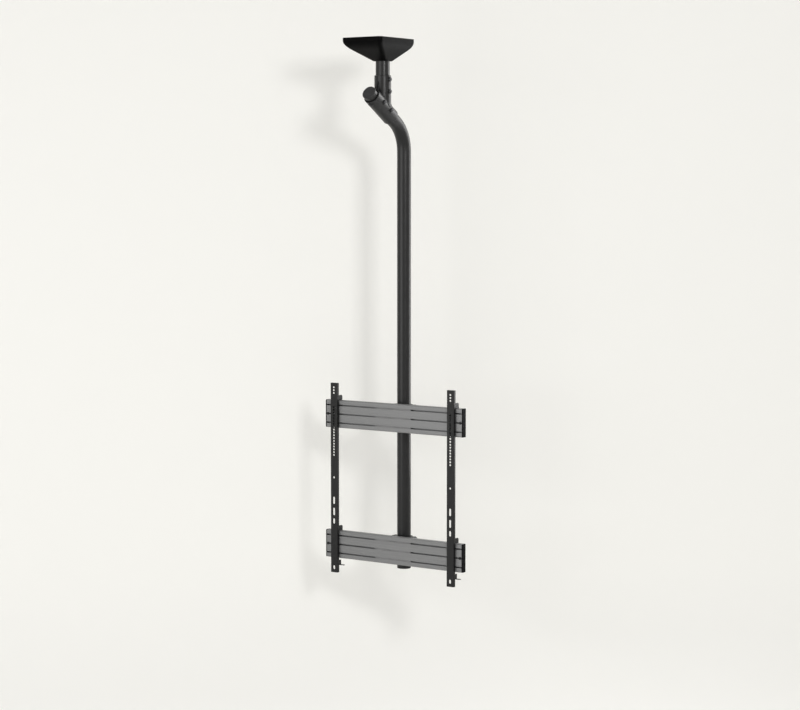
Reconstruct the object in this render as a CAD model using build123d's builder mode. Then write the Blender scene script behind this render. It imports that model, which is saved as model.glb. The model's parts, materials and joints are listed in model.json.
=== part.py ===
from build123d import *
import os
from math import cos, radians, sin, sqrt, tan

# Cranked ceiling mount for a large flat display.
# Millimetres, +Z up. The origin is on the ceiling face, at the axis of the stub tube.
# The display side faces -Y, and the drop pole stands behind the stub.

# Tubes
tube_d = 48.3
tube_wall = 2.6
slip_gap = 0.3

# Ceiling plate and its stub tube
plate_x = 118.0
plate_y = 184.0
plate_t = 5.0
plate_corner_r = 8.0
anchor_x = 90.0
anchor_y = 150.0
anchor_d = 9.0
stub_clear = 1.5
stub_weld = 4.0

# Ceiling cover, centred on the plate and necked to the stub
cover_x = 161.0
cover_y = 210.0
cover_shift = -25.0
cover_h = 74.7
cover_wall = 2.5
cover_rim = 24.5
shoulder_h = 30.0
shoulder_steps = 6
cover_corner_r = 15.0
neck_w = 56.0
neck_corner_r = 18.0

# Offset coupling: an upright sleeve on the stub, an inclined sleeve on the pole
cross_drop = 233.8
crank_angle = 58.5
upright_drop = 122.7
upright_wall = 4.2
incline_up = 77.5
incline_down = 54.5
incline_wall = 4.5
gusset_t = 6.0
gusset_drop = 15.4
gusset_reach = 24.0
boss_d = 18.0
boss_h = 1.2
weld_depth = 1.5
sleeve_bevel = 1.2
sleeve_lead = 2.0

# Part of a screw head's height taken by its key socket
socket_share = 0.5

# Coupling clamp screws
coupling_screw_d = 8.0
coupling_head_d = 14.5
coupling_head_h = 4.8
coupling_key = 5.0
upright_screw_drops = (136.5, 177.5)
incline_screw_places = (36.0, -13.0)

# Lock screw under the inclined sleeve
lock_place = 64.0
lock_d = 6.0
lock_head_d = 10.5
lock_head_h = 3.3
lock_key = 4.0

# Drop pole
pole_offset = 128.0
pole_drop = 1831.0
pole_reach = 94.5
bend_r = 118.0
cap_t = 3.6
cap_edge_r = 2.2
cap_plug = 12.0
plug_gap = 0.1

# Rails
rail_length = 570.0
rail_h = 98.0
rail_depth = 19.5
rail_front = 69.0
rail_bevel = 2.5
slot_pitch = 31.5
slot_w = 5.0
lip_t = 3.2
channel_w = 16.0
channel_depth = 10.3
rail_web = 2.5
upper_rail_drop = 1299.5
lower_rail_drop = 1763.5
end_cap_t = 4.3
end_cap_round = 1.0
end_peg = 12.0
peg_gap = 0.2

# Keeper groove under the rail and the latch tongue that rises into it
keeper_place = 7.5
keeper_w = 5.0
keeper_depth = 5.0

# Filler strips in the slots
filler_length = 150.0
filler_flange_w = 12.0
filler_flange_t = 1.4
filler_gap = 0.15

# End stops in the middle slot
stop_inset = 6.0
stop_d = 4.0
stop_head_d = 10.0
stop_head_h = 2.6
stop_key = 3.0
stop_nut_x = 11.0
stop_nut_t = 4.0

# Pole clamps
clamp_h = 85.0
clamp_half = 54.0
clamp_ring = 6.0
clamp_flange_t = 11.0
clamp_split = 1.0
clamp_base_t = 7.0
clamp_side_t = 4.0
clamp_web = 20.0
clamp_corner = 11.0
clamp_bolt_x = 42.0
clamp_bolt_z = 24.0
rail_bolt_x = 38.0

# M8 clamp and rail bolts
bolt_d = 8.0
bolt_head_d = 13.0
bolt_head_h = 8.0
bolt_key = 6.0
bolt_room = 0.3
nut_flats = 13.0
nut_h = 6.5
thread_gap = 0.05
bolt_tail = 2.0

# Arms
arm_inset = 39.5
arm_w = 29.0
arm_depth = 11.2
arm_t = 2.0
arm_fold_r = 2.5
arm_gap = 0.3
arm_top_drop = 1189.0
arm_length = 674.5
first_hole = 15.5
hole_pitch = 10.0
hole_d = 7.0
hole_runs = ((0.0, 20.0), (70.0, 240.0), (320.0, 320.0))
slot_hole_w = 8.0
slot_holes = ((389.0, 415.0), (428.0, 455.0), (466.0, 485.0), (634.0, 648.0))

# Hooks inside the arms
hook_t = 2.5
hook_rise = 17.5
hook_tail = 20.0
hook_gap = 0.3
hook_nose_t = 3.8
hook_nose_drop = 12.0
hook_round = 4.0
nest_gap = 0.15

# Latches under the lower rail
housing_drop = 8.0
housing_h = 16.0
housing_depth = 25.5
housing_t = 2.0
tongue_w = 14.0
tongue_t = 4.0
tongue_rise = 4.0
tab_t = 2.0
tab_reach = 29.0
tab_depth = 8.0
tab_gap = 0.3
lug_drop = 12.0
lug_w = 12.0
lug_reach = 10.0
spring_w = 8.0
spring_t = 0.6
spring_bend_r = 0.8

# Places worked out from the sizes above
tube_r = tube_d / 2
tube_bore_r = tube_r - tube_wall
slip_r = tube_r + slip_gap
upright_r = slip_r + upright_wall
incline_r = slip_r + incline_wall
lean = radians(crank_angle)
incline = Plane(origin=(0, 0, -cross_drop), x_dir=(1, 0, 0), z_dir=(0, -sin(lean), cos(lean)))
pole_corner = (0, pole_offset, -cross_drop - pole_offset / tan(lean))
pole_top = incline.offset(pole_reach).origin
stub_drop = cross_drop - incline_r / sin(lean) - tube_r / tan(lean) - stub_clear
pole_foot = (0, pole_offset, -pole_drop)
rail_front_y = pole_offset - rail_front
saddle_depth = rail_front - rail_depth
arm_front_y = rail_front_y - arm_gap - arm_depth
arm_inside = arm_w / 2 - arm_t
rail_drops = {"upper": upper_rail_drop, "lower": lower_rail_drop}
arm_spread = rail_length / 2 - arm_inset
arm_places = {"left": -arm_spread, "right": arm_spread}

os.makedirs("parts", exist_ok=True)


def save(part, name):
    """Labels a finished piece and writes its STEP file."""
    part.label = name
    export_step(part, f"parts/{name}.step")


def socket_screw(shank_d, shank_length, head_d, head_h, key):
    """Socket-head screw with its seat on XY, head up."""
    with BuildPart() as screw:
        with BuildSketch():
            Circle(head_d / 2)
        extrude(amount=head_h)
        with BuildSketch(Plane.XY.offset(head_h)):
            RegularPolygon(key / 2, 6, major_radius=False)
        extrude(amount=-head_h * socket_share, mode=Mode.SUBTRACT)
        with BuildSketch():
            Circle(shank_d / 2)
        extrude(amount=-shank_length)
    return screw.part


def hex_nut():
    """Hexagon nut for the clamp and rail bolts, its seat on XY."""
    with BuildPart() as nut:
        with BuildSketch():
            RegularPolygon(nut_flats / 2, 6, major_radius=False)
            Circle(bolt_d / 2 + thread_gap, mode=Mode.SUBTRACT)
        extrude(amount=nut_h)
    return nut.part


# Ceiling plate with its welded stub
with BuildPart() as ceiling_plate:
    with BuildSketch(Plane.XY.offset(-plate_t)):
        with Locations((0, cover_shift)):
            RectangleRounded(plate_x, plate_y, plate_corner_r)
            with GridLocations(anchor_x, anchor_y, 2, 2):
                Circle(anchor_d / 2, mode=Mode.SUBTRACT)
    extrude(amount=plate_t)
    with BuildSketch(Plane.XY.offset(-plate_t)):
        Circle(tube_r)
        Circle(tube_bore_r, mode=Mode.SUBTRACT)
    extrude(amount=plate_t - stub_drop)
    stub_rings = ceiling_plate.edges().filter_by(GeomType.CIRCLE)
    chamfer(stub_rings.filter_by(lambda ring: ring.radius == tube_r).sort_by(Axis.Z)[-1], stub_weld)
save(ceiling_plate.part, "ceiling_plate")


def cover_section(depth, inset):
    """Outline of the cover at a depth; its slope to the neck starts in a parabola round the rim's foot."""
    slope_h = cover_h - cover_rim
    rounded = depth - cover_rim + shoulder_h / 2
    straight = (depth - cover_rim) / slope_h
    share = straight if rounded > shoulder_h else max(rounded, 0) ** 2 / (2 * shoulder_h * slope_h)
    with BuildSketch(Plane.XY.offset(min(inset - depth, 0))) as section:
        with Locations((0, cover_shift * (1 - share))):
            RectangleRounded(
                cover_x + (neck_w - cover_x) * share - 2 * inset,
                cover_y + (neck_w - cover_y) * share - 2 * inset,
                cover_corner_r + (neck_corner_r - cover_corner_r) * share - inset,
            )
    return section.sketch


def cover_form(inset):
    """The cover's outside, or its hollow when inset by the wall."""
    shoulder_top = cover_rim - shoulder_h / 2
    depths = [shoulder_top + step * shoulder_h / shoulder_steps for step in range(shoulder_steps + 1)]
    with BuildPart() as form:
        loft([cover_section(0, inset), cover_section(shoulder_top, inset)], ruled=True)
        loft([cover_section(depth, inset) for depth in depths])
        loft([cover_section(depths[-1], inset), cover_section(cover_h, inset)], ruled=True)
    return form.part


# Ceiling cover
with BuildPart() as ceiling_cover:
    add(cover_form(0))
    add(cover_form(cover_wall), mode=Mode.SUBTRACT)
    with BuildSketch(Plane.XY.offset(-cover_h)):
        Circle(slip_r)
    extrude(amount=2 * cover_wall, mode=Mode.SUBTRACT)
save(ceiling_cover.part, "ceiling_cover")


def incline_point(along, above):
    """Point of the crank plane, as (y, z), along and above the inclined sleeve's axis."""
    y = -along * sin(lean) + above * cos(lean)
    z = -cross_drop + along * cos(lean) + above * sin(lean)
    return (y, z)


def screw_seat(centre, sleeve_r):
    """Plane under a coupling screw's head, facing +X."""
    return Plane(origin=centre, x_dir=(0, 1, 0), z_dir=(1, 0, 0)).offset(sleeve_r + boss_h)


lock_seat = Plane(
    origin=incline.offset(lock_place).origin, x_dir=(1, 0, 0), z_dir=(0, -cos(lean), -sin(lean))
).offset(incline_r + boss_h)
upright_seats = [screw_seat((0, 0, -drop), upright_r) for drop in upright_screw_drops]
incline_seats = [screw_seat(incline.offset(place).origin, incline_r) for place in incline_screw_places]

# Offset coupling: two sleeves, a gusset in their corner and the screw bosses, welded together
gusset_y = upright_r - weld_depth
gusset_above = incline_r - weld_depth
corner_along = (gusset_y + gusset_above * cos(lean)) / sin(lean)
with BuildPart() as offset_coupling:
    with BuildSketch(Plane.XY.offset(-upright_drop)):
        Circle(upright_r)
        Circle(slip_r, mode=Mode.SUBTRACT)
    extrude(amount=upright_drop - cross_drop)
    chamfer(offset_coupling.edges().group_by(Axis.Z)[-1].sort_by(SortBy.RADIUS)[-1], sleeve_bevel)
    with BuildSketch(incline.offset(-incline_down)):
        Circle(incline_r)
    extrude(amount=incline_down + incline_up)
    rims = offset_coupling.edges().filter_by(GeomType.CIRCLE)
    rims = rims.sort_by(lambda rim: incline.to_local_coords(rim.arc_center).Z)
    chamfer([rims[0], rims[-1]], sleeve_bevel)
    with BuildSketch(Plane.YZ):
        with BuildLine():
            Polyline(
                (-gusset_y, -upright_drop - gusset_drop),
                incline_point(corner_along + gusset_reach, gusset_above),
                incline_point(corner_along, gusset_above),
                close=True,
            )
        make_face()
    extrude(amount=gusset_t / 2, both=True)
    for seat in upright_seats + incline_seats + [lock_seat]:
        with BuildSketch(seat):
            Circle(boss_d / 2)
        extrude(amount=-boss_h - weld_depth)
    with BuildSketch(incline.offset(-incline_down)):
        Circle(slip_r)
    extrude(amount=incline_down + incline_up, mode=Mode.SUBTRACT)
    mouths = offset_coupling.edges().filter_by(GeomType.CIRCLE)
    mouths = mouths.filter_by(lambda mouth: mouth.radius == slip_r)
    chamfer(mouths.sort_by(lambda mouth: incline.to_local_coords(mouth.arc_center).Z)[-1], sleeve_lead)
    for seat in upright_seats + incline_seats:
        with BuildSketch(seat):
            Circle(coupling_screw_d / 2 + thread_gap)
        extrude(amount=-slip_r, mode=Mode.SUBTRACT)
    with BuildSketch(lock_seat):
        Circle(lock_d / 2 + thread_gap)
    extrude(amount=-slip_r, mode=Mode.SUBTRACT)
save(offset_coupling.part, "offset_coupling")

# Clamp screws of the coupling
upright_screw = socket_screw(
    coupling_screw_d, boss_h + upright_wall, coupling_head_d, coupling_head_h, coupling_key
)
incline_screw = socket_screw(
    coupling_screw_d, boss_h + incline_wall, coupling_head_d, coupling_head_h, coupling_key
)
with BuildPart() as coupling_screws:
    with Locations(*upright_seats):
        add(upright_screw)
    with Locations(*incline_seats):
        add(incline_screw)
save(coupling_screws.part, "coupling_screws")

# Lock screw under the inclined sleeve
with BuildPart() as lock_screw:
    with Locations(lock_seat):
        add(socket_screw(lock_d, boss_h + incline_wall, lock_head_d, lock_head_h, lock_key))
save(lock_screw.part, "lock_screw")

# Drop pole
with BuildPart() as drop_pole:
    with BuildLine() as pole_path:
        FilletPolyline(pole_top, pole_corner, pole_foot, radius=bend_r)
    with BuildSketch(incline.offset(pole_reach)):
        Circle(tube_r)
        Circle(tube_bore_r, mode=Mode.SUBTRACT)
    sweep(path=pole_path.wire())
save(drop_pole.part, "drop_pole")

# End plugs of the pole
pole_ends = {
    "pole_top_cap": incline.offset(pole_reach),
    "pole_bottom_cap": Plane(origin=pole_foot, x_dir=(1, 0, 0), z_dir=(0, 0, -1)),
}
for name, end in pole_ends.items():
    with BuildPart() as pole_cap:
        with BuildSketch(end):
            Circle(tube_r)
        extrude(amount=cap_t)
        by_height = pole_cap.faces().sort_by(lambda face: end.to_local_coords(face.center()).Z)
        fillet(by_height[-1].edges(), cap_edge_r)
        with BuildSketch(end):
            Circle(tube_bore_r - plug_gap)
        extrude(amount=-cap_plug)
    save(pole_cap.part, name)


def rail_section(x, drop):
    """Cross-section plane of a rail: its x runs back from the front face, its y is height."""
    return Plane(origin=(x, rail_front_y, -drop), x_dir=(0, 1, 0), z_dir=(1, 0, 0))


def rail_outline():
    """Sketch of the rail's outside, bevelled at the front edges."""
    with BuildSketch() as outline:
        with Locations((rail_depth / 2, 0)):
            Rectangle(rail_depth, rail_h)
        chamfer(outline.vertices().group_by(Axis.X)[0], rail_bevel)
    return outline.sketch


back_wall = rail_depth - lip_t - channel_depth
cell_h = slot_pitch - channel_w - 2 * rail_web
cell_depth = rail_depth - 2 * lip_t
channel_floor = lip_t + channel_depth
rail_bolt = socket_screw(
    bolt_d, back_wall + clamp_base_t + nut_h + bolt_tail, bolt_head_d, bolt_head_h, bolt_key
)
clamp_bolt = socket_screw(
    bolt_d, 2 * (clamp_flange_t + clamp_split) + nut_h + bolt_tail, bolt_head_d, bolt_head_h, bolt_key
)
stop_screw = socket_screw(
    stop_d, lip_t + filler_gap + stop_nut_t, stop_head_d, stop_head_h, stop_key
)
nut = hex_nut()

for level, drop in rail_drops.items():
    section = rail_section(-rail_length / 2, drop)
    facing_front = Plane(origin=(0, rail_front_y, -drop), x_dir=(1, 0, 0), z_dir=(0, -1, 0))
    channel_seat = facing_front.offset(-channel_floor)
    base_back = Plane(
        origin=(0, rail_front_y + rail_depth + clamp_base_t, -drop), x_dir=(1, 0, 0), z_dir=(0, 1, 0)
    )
    strap_back = Plane(
        origin=(0, pole_offset + clamp_split + clamp_flange_t, -drop), x_dir=(1, 0, 0), z_dir=(0, 1, 0)
    )
    clamp_plan = Plane(origin=(0, pole_offset, -drop - clamp_h / 2))
    clamp_face = Plane(origin=(0, pole_offset, -drop), x_dir=(1, 0, 0), z_dir=(0, -1, 0))

    # Extruded rail with three T-slots, two hollow cells and the keeper groove below
    with BuildPart() as rail:
        with BuildSketch(section):
            add(rail_outline())
            with Locations((lip_t / 2, 0)):
                with GridLocations(1, slot_pitch, 1, 3):
                    Rectangle(lip_t, slot_w, mode=Mode.SUBTRACT)
            with Locations((lip_t + channel_depth / 2, 0)):
                with GridLocations(1, slot_pitch, 1, 3):
                    Rectangle(channel_depth, channel_w, mode=Mode.SUBTRACT)
            with Locations((rail_depth / 2, 0)):
                with GridLocations(1, slot_pitch, 1, 2):
                    Rectangle(cell_depth, cell_h, mode=Mode.SUBTRACT)
            with Locations((keeper_place, (keeper_depth - rail_h) / 2)):
                Rectangle(keeper_w, keeper_depth, mode=Mode.SUBTRACT)
        extrude(amount=rail_length)
        with BuildSketch(channel_seat):
            with GridLocations(2 * rail_bolt_x, 2 * slot_pitch, 2, 2):
                Circle(bolt_d / 2 + bolt_room)
        extrude(amount=-back_wall, mode=Mode.SUBTRACT)
    save(rail.part, f"{level}_rail")

    # End caps with pegs in the cells
    for side, sign in (("left", -1), ("right", 1)):
        with BuildPart() as end_cap:
            with BuildSketch(rail_section(sign * rail_length / 2, drop)):
                add(rail_outline())
            extrude(amount=sign * end_cap_t)
            outer_face = end_cap.faces().sort_by(Axis.X)[0 if sign < 0 else -1]
            fillet(outer_face.edges(), end_cap_round)
            with BuildSketch(rail_section(sign * rail_length / 2, drop)):
                with Locations((rail_depth / 2, 0)):
                    with GridLocations(1, slot_pitch, 1, 2):
                        Rectangle(cell_depth - 2 * peg_gap, cell_h - 2 * peg_gap)
            extrude(amount=-sign * end_peg)
        save(end_cap.part, f"{level}_{side}_end_cap")

    # Filler strips that close the slots in front of the rail bolts
    with BuildPart() as slot_covers:
        with BuildSketch(rail_section(-filler_length / 2, drop)):
            with Locations((filler_gap + (lip_t + filler_flange_t) / 2, 0)):
                with GridLocations(1, slot_pitch, 1, 3):
                    Rectangle(lip_t + filler_flange_t, slot_w - 2 * filler_gap)
            with Locations((lip_t + filler_gap + filler_flange_t / 2, 0)):
                with GridLocations(1, slot_pitch, 1, 3):
                    Rectangle(filler_flange_t, filler_flange_w)
        extrude(amount=filler_length)
    save(slot_covers.part, f"{level}_slot_covers")

    # End stops: screws in the middle slot and the nuts behind its lips
    with BuildPart() as stop_screws:
        with Locations(facing_front):
            with GridLocations(rail_length - 2 * stop_inset, 1, 2, 1):
                add(stop_screw)
    save(stop_screws.part, f"{level}_stop_screws")

    with BuildPart() as stop_nuts:
        with BuildSketch(facing_front.offset(-lip_t - filler_gap)):
            with GridLocations(rail_length - 2 * stop_inset, 1, 2, 1):
                Rectangle(stop_nut_x, channel_w - 2 * filler_gap)
                Circle(stop_d / 2 + thread_gap, mode=Mode.SUBTRACT)
        extrude(amount=-stop_nut_t)
    save(stop_nuts.part, f"{level}_stop_nuts")

    # Front half of the pole clamp, an extruded saddle between rail and pole
    with BuildPart() as clamp_saddle:
        with BuildSketch(clamp_plan):
            with Locations((0, -saddle_depth + clamp_base_t / 2)):
                Rectangle(2 * clamp_half, clamp_base_t)
            with Locations((0, -clamp_split - clamp_flange_t / 2)):
                Rectangle(2 * clamp_half, clamp_flange_t)
            with Locations((0, -(saddle_depth + clamp_split) / 2)):
                with GridLocations(2 * clamp_half - clamp_side_t, 1, 2, 1):
                    Rectangle(clamp_side_t, saddle_depth - clamp_split)
                Rectangle(clamp_web, saddle_depth - clamp_split)
            Circle(slip_r + clamp_ring)
            Circle(slip_r, mode=Mode.SUBTRACT)
            with Locations((0, clamp_half - clamp_split)):
                Rectangle(2 * clamp_half, 2 * clamp_half, mode=Mode.SUBTRACT)
        extrude(amount=clamp_h)
        with BuildSketch(clamp_face.offset(saddle_depth)):
            with GridLocations(2 * clamp_half, clamp_h, 2, 2):
                Rectangle(clamp_corner * sqrt(2), clamp_corner * sqrt(2), rotation=45)
        extrude(amount=-saddle_depth, mode=Mode.SUBTRACT)
        with BuildSketch(clamp_face.offset(saddle_depth)):
            with GridLocations(2 * rail_bolt_x, 2 * slot_pitch, 2, 2):
                Circle(bolt_d / 2 + bolt_room)
        extrude(amount=-clamp_base_t, mode=Mode.SUBTRACT)
        with BuildSketch(clamp_face.offset(clamp_split)):
            with GridLocations(2 * clamp_bolt_x, 2 * clamp_bolt_z, 2, 2):
                Circle(bolt_d / 2 + bolt_room)
        extrude(amount=clamp_flange_t, mode=Mode.SUBTRACT)
    save(clamp_saddle.part, f"{level}_clamp_saddle")

    # Rear half of the pole clamp
    with BuildPart() as clamp_strap:
        with BuildSketch(clamp_plan):
            with Locations((0, clamp_split + clamp_flange_t / 2)):
                Rectangle(2 * clamp_half, clamp_flange_t)
            Circle(slip_r + clamp_ring)
            Circle(slip_r, mode=Mode.SUBTRACT)
            with Locations((0, clamp_split - clamp_half)):
                Rectangle(2 * clamp_half, 2 * clamp_half, mode=Mode.SUBTRACT)
        extrude(amount=clamp_h)
        ear_edges = clamp_strap.edges().filter_by(Axis.Y).group_by(Axis.X)
        chamfer(ear_edges[0] + ear_edges[-1], clamp_corner)
        with BuildSketch(clamp_face.offset(-clamp_split)):
            with GridLocations(2 * clamp_bolt_x, 2 * clamp_bolt_z, 2, 2):
                Circle(bolt_d / 2 + bolt_room)
        extrude(amount=-clamp_flange_t, mode=Mode.SUBTRACT)
    save(clamp_strap.part, f"{level}_clamp_strap")

    # Bolts and nuts that close the clamp, heads at the back
    with BuildPart() as clamp_bolts:
        with Locations(strap_back):
            with GridLocations(2 * clamp_bolt_x, 2 * clamp_bolt_z, 2, 2):
                add(clamp_bolt)
    save(clamp_bolts.part, f"{level}_clamp_bolts")

    with BuildPart() as clamp_nuts:
        with Locations(clamp_face.offset(clamp_split + clamp_flange_t)):
            with GridLocations(2 * clamp_bolt_x, 2 * clamp_bolt_z, 2, 2):
                add(nut)
    save(clamp_nuts.part, f"{level}_clamp_nuts")

    # Bolts and nuts that hold the rail on the saddle, heads in the outer channels
    with BuildPart() as rail_bolts:
        with Locations(channel_seat):
            with GridLocations(2 * rail_bolt_x, 2 * slot_pitch, 2, 2):
                add(rail_bolt)
    save(rail_bolts.part, f"{level}_rail_bolts")

    with BuildPart() as rail_nuts:
        with Locations(base_back):
            with GridLocations(2 * rail_bolt_x, 2 * slot_pitch, 2, 2):
                add(nut)
    save(rail_nuts.part, f"{level}_rail_nuts")


def arm_side(x, z):
    """Side-view plane of an arm: its x runs back from the arm's front face, its y is height."""
    return Plane(origin=(x, arm_front_y, z), x_dir=(0, 1, 0), z_dir=(1, 0, 0))


nest_half = arm_inside - nest_gap
rail_face = arm_depth + arm_gap
hook_back = rail_face + rail_depth + hook_gap
keeper_y = rail_face + keeper_place
rail_foot = -lower_rail_drop - rail_h / 2
housing_top = rail_foot - housing_drop
housing_foot = housing_top - housing_h
tab_top = housing_foot - tab_gap
lug_foot = rail_foot - lug_drop - tab_t
floor_top = housing_foot + housing_t
tongue_front = keeper_y - tongue_t / 2

for side, x in arm_places.items():
    arm_plan = Plane(origin=(x, arm_front_y, -arm_top_drop - arm_length))
    arm_face = Plane(
        origin=(x, arm_front_y, -arm_top_drop - first_hole), x_dir=(1, 0, 0), z_dir=(0, -1, 0)
    )

    # Folded arm with closed ends, round holes and slots
    with BuildPart() as arm:
        with BuildSketch(arm_plan) as arm_outline:
            with Locations((0, arm_depth / 2)):
                Rectangle(arm_w, arm_depth)
            fillet(arm_outline.vertices().group_by(Axis.Y)[0], arm_fold_r)
        extrude(amount=arm_length)
        with BuildSketch(arm_plan.offset(arm_t)):
            with Locations((0, arm_t + arm_depth / 2)):
                Rectangle(2 * arm_inside, arm_depth)
        extrude(amount=arm_length - 2 * arm_t, mode=Mode.SUBTRACT)
        with BuildSketch(arm_face):
            for first, last in hole_runs:
                for step in range(round((last - first) / hole_pitch) + 1):
                    with Locations((0, -first - step * hole_pitch)):
                        Circle(hole_d / 2)
            for start, end in slot_holes:
                with Locations((0, -(start + end) / 2)):
                    SlotOverall(end - start, slot_hole_w, rotation=90)
        extrude(amount=-arm_t, mode=Mode.SUBTRACT)
    save(arm.part, f"{side}_arm")

    # Hooks: folded brackets in the arm, their cheeks reach over the rail and down behind it
    for level, drop in rail_drops.items():
        rail_top = rail_h / 2 - drop
        with BuildPart() as hook:
            for cheek in (-nest_half, nest_half - hook_t):
                with BuildSketch(arm_side(x + cheek, rail_top)):
                    with BuildLine():
                        Polyline(
                            (arm_t, -hook_tail),
                            (arm_depth, -hook_tail),
                            (arm_depth, hook_gap),
                            (hook_back, hook_gap),
                            (hook_back, -hook_nose_drop),
                            (hook_back + hook_nose_t, -hook_nose_drop),
                            (hook_back + hook_nose_t, hook_rise - hook_round),
                            (hook_back + hook_nose_t - hook_round, hook_rise),
                            (arm_t, hook_rise),
                            close=True,
                        )
                    make_face()
                extrude(amount=hook_t)
            with BuildSketch(arm_side(x - nest_half, rail_top)):
                with Locations((arm_t + hook_t / 2, (hook_rise - hook_tail) / 2)):
                    Rectangle(hook_t, hook_rise + hook_tail)
            extrude(amount=2 * nest_half)
        save(hook.part, f"{side}_{level}_hook")

    # Latch housing: folded bracket with a floor for the spring
    with BuildPart() as latch_housing:
        with BuildSketch(Plane(origin=(x, arm_front_y, housing_foot))):
            with Locations((0, (arm_t + housing_depth) / 2)):
                Rectangle(2 * nest_half, housing_depth - arm_t)
            with Locations((0, arm_t + housing_t + housing_depth / 2)):
                Rectangle(2 * (nest_half - housing_t), housing_depth, mode=Mode.SUBTRACT)
        extrude(amount=housing_h)
        with BuildSketch(Plane(origin=(x, arm_front_y, housing_foot))):
            with Locations((0, (arm_t + tongue_front - tab_gap) / 2)):
                Rectangle(2 * nest_half, tongue_front - tab_gap - arm_t)
        extrude(amount=housing_t)
    save(latch_housing.part, f"{side}_latch_housing")

    # Latch: tongue in the keeper groove, spring lug, pull tab below
    with BuildPart() as latch:
        with BuildSketch(Plane(origin=(x, arm_front_y + keeper_y, tab_top - tab_t))):
            Rectangle(tongue_w, tongue_t)
        extrude(amount=rail_foot + tongue_rise - tab_top + tab_t)
        with BuildSketch(Plane(origin=(x, arm_front_y + tongue_front, tab_top - tab_t))):
            with Locations(((tab_reach - nest_half) / 2, tab_depth / 2)):
                Rectangle(tab_reach + nest_half, tab_depth)
        extrude(amount=tab_t)
        with BuildSketch(Plane(origin=(x, arm_front_y + tongue_front, lug_foot))):
            with Locations((0, -lug_reach / 2)):
                Rectangle(lug_w, lug_reach)
        extrude(amount=tab_t)
    save(latch.part, f"{side}_latch")

    # Latch spring: a zigzag strip between the housing floor and the lug
    spring_front = tongue_front - lug_reach + spring_t
    spring_back = tongue_front - tab_gap - spring_t
    with BuildPart() as latch_spring:
        with BuildSketch(arm_side(x - spring_w / 2, 0)):
            with BuildLine() as zigzag:
                FilletPolyline(
                    (spring_back, floor_top + spring_t / 2),
                    (spring_front, floor_top + spring_t / 2),
                    (spring_back, (floor_top + lug_foot) / 2),
                    (spring_front, lug_foot - spring_t / 2),
                    (spring_back, lug_foot - spring_t / 2),
                    radius=spring_bend_r,
                )
            trace(line_width=spring_t)
        extrude(amount=spring_w)
    save(latch_spring.part, f"{side}_latch_spring")
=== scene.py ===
import json
from math import atan2, cos, pi, radians, sin, tan

import bpy
import numpy as np
from bpy.props import FloatProperty, FloatVectorProperty, PointerProperty
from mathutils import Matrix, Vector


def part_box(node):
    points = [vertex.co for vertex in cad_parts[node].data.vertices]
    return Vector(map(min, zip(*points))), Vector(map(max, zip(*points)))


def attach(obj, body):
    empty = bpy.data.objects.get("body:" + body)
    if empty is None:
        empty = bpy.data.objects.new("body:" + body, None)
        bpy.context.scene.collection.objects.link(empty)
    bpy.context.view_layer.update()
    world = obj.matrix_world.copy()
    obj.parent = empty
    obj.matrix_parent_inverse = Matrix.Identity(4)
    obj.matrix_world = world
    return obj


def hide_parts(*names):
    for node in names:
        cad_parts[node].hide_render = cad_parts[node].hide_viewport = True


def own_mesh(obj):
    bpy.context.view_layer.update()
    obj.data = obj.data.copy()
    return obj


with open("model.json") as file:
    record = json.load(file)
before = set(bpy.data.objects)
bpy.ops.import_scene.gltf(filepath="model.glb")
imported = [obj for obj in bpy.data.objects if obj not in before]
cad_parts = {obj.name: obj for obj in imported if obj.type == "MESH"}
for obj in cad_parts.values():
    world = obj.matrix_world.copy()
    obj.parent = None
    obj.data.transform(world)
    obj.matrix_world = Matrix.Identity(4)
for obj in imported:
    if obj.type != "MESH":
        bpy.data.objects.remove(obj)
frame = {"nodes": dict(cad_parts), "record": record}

bl_info = {
    "name": "Cranked ceiling mount",
    "version": (1, 0, 0),
    "blender": (4, 5, 0),
    "location": "3D View > Sidebar > Ceiling mount",
    "description": "Finishes, welds and fasteners of a cranked ceiling mount, and the stage it hangs in",
    "category": "Object",
}

LEVELS = ("upper", "lower")
SIDES = ("left", "right")
SLOT_OF = {row["node"]: row["material_slot"] for row in frame["record"]["subparts"]}
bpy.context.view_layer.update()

# Finishes: roughness, share of metal, and mirror strength of the coats and plastics
ROUGHNESS = {
    "plate": 0.33, "cover": 0.45, "coupling": 0.34, "pole": 0.33, "cap": 0.68, "plug": 0.45, "arm": 0.42,
    "weld": 0.42, "rail": 0.44, "filler": 0.5, "clamp": 0.42, "bolt": 0.34, "screw": 0.36, "stop": 0.42,
    "zinc": 0.36,
}
METAL = {"rail": 0.55, "clamp": 0.3, "bolt": 0.85, "screw": 0.8, "stop": 0.6, "zinc": 0.9}
SHEEN = {"powder": 0.28, "cover": 0.03, "cap": 0.04, "plug": 0.1, "filler": 0.04}
DUST = (0.30, 0.29, 0.27, 1.0)
RUBBED_STEEL = (0.34, 0.34, 0.35, 1.0)
ALONG_X, ALONG_Z = 0, 2

# Screws and nuts, in metres: pitches of the threads, broken edges and the form of the heads
M8_PITCH, M6_PITCH, M4_PITCH = 0.00125, 0.001, 0.0007
THREAD_DEPTH, THREAD_RUN_IN = 0.54, 0.4
EDGE = 0.0003
KNURLS = 30
KNURL_DEPTH = 0.0003
CAP_CROWN = 0.0009
DOME_RISE, DOME_IN = 0.75, 0.42
SOCKET_FLOOR = 0.45
DRILL_CONE, DRILL_TIP = 0.0006, 0.12
NUT_EDGE = 0.0006
NUT_CONE, NUT_CONE_ANGLE = 0.485, radians(30)

# Steps of the surfaces: round a screw or nut, along a thread's pitch, up a crown, round a bend and the cove
ROUND_STEPS, PITCH_STEPS, CROWN_STEPS, BEND_STEPS, COVE_STEPS = 72, 6, 8, 13, 17
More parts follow.
